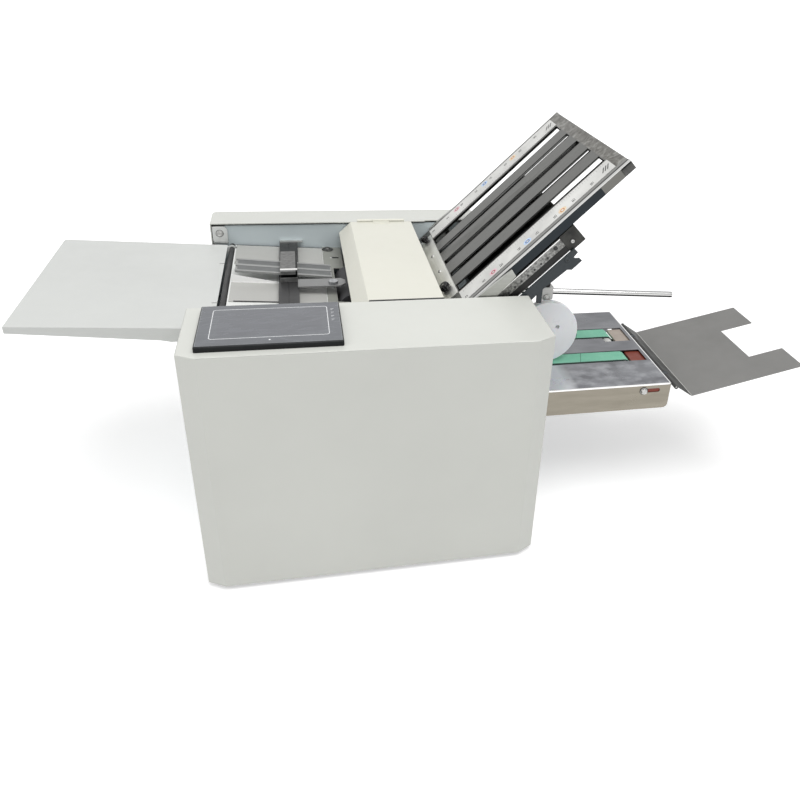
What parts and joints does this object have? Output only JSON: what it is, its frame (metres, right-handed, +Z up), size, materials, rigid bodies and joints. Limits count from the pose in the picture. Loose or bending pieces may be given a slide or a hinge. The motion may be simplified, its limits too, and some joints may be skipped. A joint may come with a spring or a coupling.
{
  "type": "paper folding machine",
  "caption": "Table-top paper folder: feed table, touch panel, hood over fold rollers, two slanted fold plates, green delivery belts, stacking wheel and exit tray.",
  "frame": {"origin": "on the table, under the middle of the whole machine's bounding box", "axes": "+X along the paper's way from the feed table to the exit tray, +Y from the control side to the back, +Z up"},
  "size_m": [1.3624, 0.638, 0.6544],
  "materials": {
    "cover_paint": "smooth satin paint",
    "hood_paint": "cream satin paint",
    "table_paint": "pale satin paint",
    "bezel_plastic": "fine texture",
    "screen_face": "glossy display",
    "frame_paint": "blue-grey paint",
    "tie_steel": "turned",
    "foot_rubber": "matte",
    "bracket_zinc": "zinc plated",
    "deck_paint": "pale satin paint",
    "guide_paint": "white satin paint",
    "bar_black": "black oxide",
    "clamp_cast": "cast",
    "rail_paint": "grey paint",
    "strip_plastic": "matte",
    "roller_rubber": "ground",
    "motor_paint": "black paint",
    "pulley_alloy": "turned",
    "belt_black": "matte",
    "plate_steel": "brushed stainless",
    "scale_white": "printed strip",
    "knob_black": "moulded",
    "stop_alloy": "satin",
    "dark_steel": "dark blue-grey paint",
    "rod_chrome": "polished",
    "carriage_alloy": "satin",
    "wheel_white": "translucent white",
    "box_steel": "bright stainless",
    "belt_green": "woven",
    "roller_white": "turned",
    "pad_red": "moulded",
    "pad_tan": "moulded",
    "tray_grey": "grey satin paint",
    "inlet_black": "moulded",
    "screw_steel": "bright"
  },
  "bodies": {
    "machine": {"cover_front": "cover_paint", "cover_rear": "cover_paint", "fasteners": "screw_steel", "frame_front": "frame_paint", "frame_rear": "frame_paint", "cross_ties": "tie_steel", "base_plate": "frame_paint", "feet": "foot_rubber", "inner_brackets": "bracket_zinc", "touch_bezel": "bezel_plastic", "touch_screen": "screen_face", "wall_brackets": "bracket_zinc", "deck": "deck_paint", "cross_bar": "bar_black", "motor_body": "motor_paint", "drive_belt": "belt_black", "plate1_face": "plate_steel", "plate1_back": "plate_steel", "plate1_rails": "plate_steel", "plate1_scales": "scale_white", "plate1_bar": "plate_steel", "plate2_sheets": "plate_steel", "plate2_ruler": "plate_steel", "dark_brackets": "dark_steel", "cheek_plates": "bracket_zinc", "delivery_box": "box_steel", "fixed_pins": "tie_steel", "delivery_belts": "belt_green", "wear_pad": "pad_red", "guide_pad": "pad_tan", "power_inlet": "inlet_black", "hood_hinge": "hood_paint", "throat_plate": "bracket_zinc"},
    "feed_table": {"feed_table": "table_paint"},
    "front_guide": {"guide_front": "guide_paint"},
    "rear_guide": {"guide_rear": "guide_paint"},
    "hold_down": {"clamp_block": "clamp_cast", "hold_rail": "rail_paint", "rail_strips": "strip_plastic"},
    "gap_screw": {"gap_screw": "stop_alloy"},
    "feed_roller": {"feed_core": "roller_rubber"},
    "fold_roller_1": {"fold_roller_1": "roller_rubber"},
    "fold_roller_2": {"fold_roller_2": "roller_rubber"},
    "fold_roller_3": {"fold_roller_3": "roller_rubber"},
    "fold_roller_4": {"fold_roller_4": "roller_rubber"},
    "motor_pulley": {"motor_pulley": "pulley_alloy"},
    "top_cover": {"top_cover": "hood_paint"},
    "lock_knob_front": {"lock_knob_front": "knob_black"},
    "lock_knob_rear": {"lock_knob_rear": "knob_black"},
    "long_plate_stop": {"plate1_stop": "stop_alloy"},
    "short_plate_stop": {"plate2_stop": "stop_alloy"},
    "stack_rod": {"stack_rod": "rod_chrome"},
    "wheel_carriage": {"wheel_carriage": "carriage_alloy"},
    "carriage_screw": {"carriage_screw": "knob_black"},
    "wheel_arm": {"wheel_arm": "bracket_zinc"},
    "press_wheel": {"press_wheel": "wheel_white"},
    "drive_roller": {"drive_roller": "tie_steel"},
    "end_roller": {"end_roller": "roller_white"},
    "exit_tray": {"exit_tray": "tray_grey"},
    "switch_rocker": {"switch_rocker": "inlet_black"}
  },
  "joints": [
    {"name": "table_fold", "type": "hinge", "parent": "machine", "child": "feed_table", "pos_m": [-0.38117, 0.042, 0.38], "axis": [0, 1, 0], "range_deg": [0, 60]},
    {"name": "front_guide_slide", "type": "slide", "parent": "machine", "child": "front_guide", "axis": [0, 1, 0], "range_m": [-0.06, 0]},
    {"name": "rear_guide_slide", "type": "slide", "parent": "machine", "child": "rear_guide", "axis": [0, 1, 0], "range_m": [-0.018, 0.008]},
    {"name": "hold_down_slide", "type": "slide", "parent": "machine", "child": "hold_down", "axis": [0, 1, 0], "range_m": [-0.04, 0.04]},
    {"name": "gap_screw_turn", "type": "hinge", "parent": "hold_down", "child": "gap_screw", "pos_m": [-0.19417, 0.01, 0.39], "axis": [0, 0, 1], "range_deg": [-180, 180]},
    {"name": "feed_roller_spin", "type": "hinge", "parent": "machine", "child": "feed_roller", "pos_m": [-0.16018, 0.042, 0.354], "axis": [0, 1, 0], "continuous": true},
    {"name": "fold_roller_2_spin", "type": "hinge", "parent": "machine", "child": "fold_roller_2", "pos_m": [-0.00838, 0.042, 0.348], "axis": [0, 1, 0], "continuous": true},
    {"name": "fold_roller_1_spin", "type": "hinge", "parent": "machine", "child": "fold_roller_1", "pos_m": [-0.03257, 0.042, 0.3732], "axis": [0, 1, 0], "continuous": true},
    {"name": "fold_roller_3_spin", "type": "hinge", "parent": "machine", "child": "fold_roller_3", "pos_m": [-0.02587, 0.042, 0.3177], "axis": [0, 1, 0], "continuous": true},
    {"name": "fold_roller_4_spin", "type": "hinge", "parent": "machine", "child": "fold_roller_4", "pos_m": [0.00443, 0.042, 0.3002], "axis": [0, 1, 0], "continuous": true},
    {"name": "motor_spin", "type": "hinge", "parent": "machine", "child": "motor_pulley", "pos_m": [-0.17217, -0.199, 0.13], "axis": [0, 1, 0], "continuous": true},
    {"name": "hood_lift", "type": "hinge", "parent": "machine", "child": "top_cover", "pos_m": [-0.08417, 0.239, 0.4304], "axis": [-1, 0, 0], "range_deg": [0, 75]},
    {"name": "front_knob_turn", "type": "hinge", "parent": "machine", "child": "lock_knob_front", "pos_m": [-0.00176, -0.048, 0.40221], "axis": [-0.6938, 0, 0.7202], "range_deg": [-180, 180]},
    {"name": "rear_knob_turn", "type": "hinge", "parent": "machine", "child": "lock_knob_rear", "pos_m": [0.00062, 0.191, 0.40451], "axis": [-0.6938, 0, 0.7202], "range_deg": [-180, 180]},
    {"name": "long_stop_slide", "type": "slide", "parent": "machine", "child": "long_plate_stop", "axis": [-0.7202, 0, -0.6938], "range_m": [0, 0.23]},
    {"name": "short_stop_slide", "type": "slide", "parent": "machine", "child": "short_plate_stop", "axis": [-0.7202, 0, -0.6938], "range_m": [0, 0.12]},
    {"name": "rod_swing", "type": "hinge", "parent": "machine", "child": "stack_rod", "pos_m": [0.08282, -0.0152, 0.38], "axis": [0, 0, 1], "range_deg": [-20, 25]},
    {"name": "carriage_slide", "type": "slide", "parent": "stack_rod", "child": "wheel_carriage", "axis": [0.9881, -0.1538, 0], "range_m": [-0.015, 0.2]},
    {"name": "carriage_screw_turn", "type": "hinge", "parent": "wheel_carriage", "child": "carriage_screw", "pos_m": [0.19482, -0.03264, 0.396], "axis": [0, 0, 1], "range_deg": [-180, 180]},
    {"name": "wheel_arm_swing", "type": "hinge", "parent": "wheel_carriage", "child": "wheel_arm", "pos_m": [0.19482, -0.043, 0.371], "axis": [0, 1, 0], "range_deg": [-15, 15]},
    {"name": "press_wheel_spin", "type": "hinge", "parent": "wheel_arm", "child": "press_wheel", "pos_m": [0.19482, -0.053, 0.306], "axis": [0, 1, 0], "continuous": true},
    {"name": "drive_roller_spin", "type": "hinge", "parent": "machine", "child": "drive_roller", "pos_m": [0.14983, -0.012, 0.2299], "axis": [0, 1, 0], "continuous": true},
    {"name": "end_roller_spin", "type": "hinge", "parent": "machine", "child": "end_roller", "pos_m": [0.36083, -0.012, 0.2299], "axis": [0, 1, 0], "continuous": true},
    {"name": "tray_lift", "type": "hinge", "parent": "machine", "child": "exit_tray", "pos_m": [0.41983, -0.049, 0.2405], "axis": [0, -1, 0], "range_deg": [0, 35]},
    {"name": "switch_rock", "type": "hinge", "parent": "machine", "child": "switch_rocker", "pos_m": [-0.31217, 0.311, 0.064], "axis": [1, 0, 0], "range_deg": [0, 16]}
  ],
  "couplings": [
    {"joint": "fold_roller_1_spin", "follows": "fold_roller_2_spin", "ratio": -1},
    {"joint": "fold_roller_3_spin", "follows": "fold_roller_2_spin", "ratio": -1},
    {"joint": "fold_roller_4_spin", "follows": "fold_roller_2_spin", "ratio": 1},
    {"joint": "motor_spin", "follows": "fold_roller_2_spin", "ratio": 1.5},
    {"joint": "end_roller_spin", "follows": "drive_roller_spin", "ratio": 1}
  ]
}
